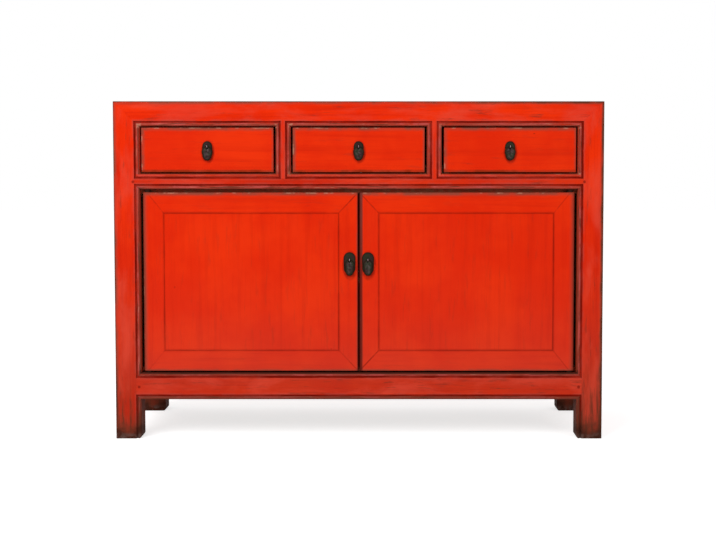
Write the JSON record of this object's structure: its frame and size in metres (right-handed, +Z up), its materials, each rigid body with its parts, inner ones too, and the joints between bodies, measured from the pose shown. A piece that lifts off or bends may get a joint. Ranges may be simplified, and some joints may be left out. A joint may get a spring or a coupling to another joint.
{
  "type": "sideboard",
  "caption": "Low post-and-rail sideboard in red lacquer: a row of drawers above a pair of framed pivot doors, square legs and metal drop pulls.",
  "frame": {"origin": "on the floor, under the middle of the whole outline", "axes": "+X to the right along the front, +Y to the back, +Z up; the doors and drawers face -Y"},
  "size_m": [1.27, 0.4066, 0.88],
  "materials": {
    "red_lacquer": "worn red lacquer",
    "bare_wood": "unfinished, aged",
    "pull_metal": "dark patina"
  },
  "bodies": {
    "case": {"front_left_post": "red_lacquer", "front_right_post": "red_lacquer", "rear_left_post": "red_lacquer", "rear_right_post": "red_lacquer", "front_top_rail": "red_lacquer", "rear_top_rail": "red_lacquer", "side_top_rails": "red_lacquer", "front_middle_rail": "red_lacquer", "front_bottom_rail": "red_lacquer", "rear_middle_rail": "bare_wood", "rear_bottom_rail": "red_lacquer", "side_bottom_rails": "red_lacquer", "drawer_dividers": "red_lacquer", "left_side_panel": "red_lacquer", "right_side_panel": "red_lacquer", "top_panel": "red_lacquer", "top_battens": "bare_wood", "back_panel": "bare_wood", "floor_panel": "bare_wood", "floor_battens": "bare_wood", "drawer_runners": "bare_wood", "shelf": "bare_wood", "shelf_bearers": "bare_wood"},
    "left_door": {"left_door_hinge_stile": "red_lacquer", "left_door_meeting_stile": "red_lacquer", "left_door_rails": "red_lacquer", "left_door_panel": "red_lacquer", "left_door_battens": "bare_wood", "left_door_pull_plate": "pull_metal", "left_door_pull_pin": "pull_metal"},
    "right_door": {"right_door_hinge_stile": "red_lacquer", "right_door_meeting_stile": "red_lacquer", "right_door_rails": "red_lacquer", "right_door_panel": "red_lacquer", "right_door_battens": "bare_wood", "right_door_pull_plate": "pull_metal", "right_door_pull_pin": "pull_metal"},
    "left_drawer": {"left_drawer_front": "red_lacquer", "left_drawer_sides": "bare_wood", "left_drawer_back": "bare_wood", "left_drawer_bottom": "bare_wood", "left_drawer_pull_plate": "pull_metal", "left_drawer_pull_pin": "pull_metal"},
    "middle_drawer": {"middle_drawer_front": "red_lacquer", "middle_drawer_sides": "bare_wood", "middle_drawer_back": "bare_wood", "middle_drawer_bottom": "bare_wood", "middle_drawer_pull_plate": "pull_metal", "middle_drawer_pull_pin": "pull_metal"},
    "right_drawer": {"right_drawer_front": "red_lacquer", "right_drawer_sides": "bare_wood", "right_drawer_back": "bare_wood", "right_drawer_bottom": "bare_wood", "right_drawer_pull_plate": "pull_metal", "right_drawer_pull_pin": "pull_metal"},
    "left_door_pull": {"left_door_pull_drop": "pull_metal"},
    "right_door_pull": {"right_door_pull_drop": "pull_metal"},
    "left_drawer_pull": {"left_drawer_pull_drop": "pull_metal"},
    "middle_drawer_pull": {"middle_drawer_pull_drop": "pull_metal"},
    "right_drawer_pull": {"right_drawer_pull_drop": "pull_metal"}
  },
  "joints": [
    {"name": "left_door_swing", "type": "hinge", "parent": "case", "child": "left_door", "pos_m": [-0.5495, -0.1822, 0.4125], "axis": [0, 0, -1], "range_deg": [0, 100]},
    {"name": "right_door_swing", "type": "hinge", "parent": "case", "child": "right_door", "pos_m": [0.5495, -0.1822, 0.4125], "axis": [0, 0, 1], "range_deg": [0, 100]},
    {"name": "left_drawer_slide", "type": "slide", "parent": "case", "child": "left_drawer", "axis": [0, -1, 0], "range_m": [0, 0.26]},
    {"name": "middle_drawer_slide", "type": "slide", "parent": "case", "child": "middle_drawer", "axis": [0, -1, 0], "range_m": [0, 0.26]},
    {"name": "right_drawer_slide", "type": "slide", "parent": "case", "child": "right_drawer", "axis": [0, -1, 0], "range_m": [0, 0.26]},
    {"name": "left_door_pull_swing", "type": "hinge", "parent": "left_door", "child": "left_door_pull", "pos_m": [-0.024, -0.1982, 0.4695], "axis": [-1, 0, 0], "range_deg": [0, 85]},
    {"name": "right_door_pull_swing", "type": "hinge", "parent": "right_door", "child": "right_door_pull", "pos_m": [0.024, -0.1982, 0.4695], "axis": [-1, 0, 0], "range_deg": [0, 85]},
    {"name": "left_drawer_pull_swing", "type": "hinge", "parent": "left_drawer", "child": "left_drawer_pull", "pos_m": [-0.392, -0.1982, 0.7635], "axis": [-1, 0, 0], "range_deg": [0, 85]},
    {"name": "middle_drawer_pull_swing", "type": "hinge", "parent": "middle_drawer", "child": "middle_drawer_pull", "pos_m": [0, -0.1982, 0.7635], "axis": [-1, 0, 0], "range_deg": [0, 85]},
    {"name": "right_drawer_pull_swing", "type": "hinge", "parent": "right_drawer", "child": "right_drawer_pull", "pos_m": [0.392, -0.1982, 0.7635], "axis": [-1, 0, 0], "range_deg": [0, 85]}
  ]
}
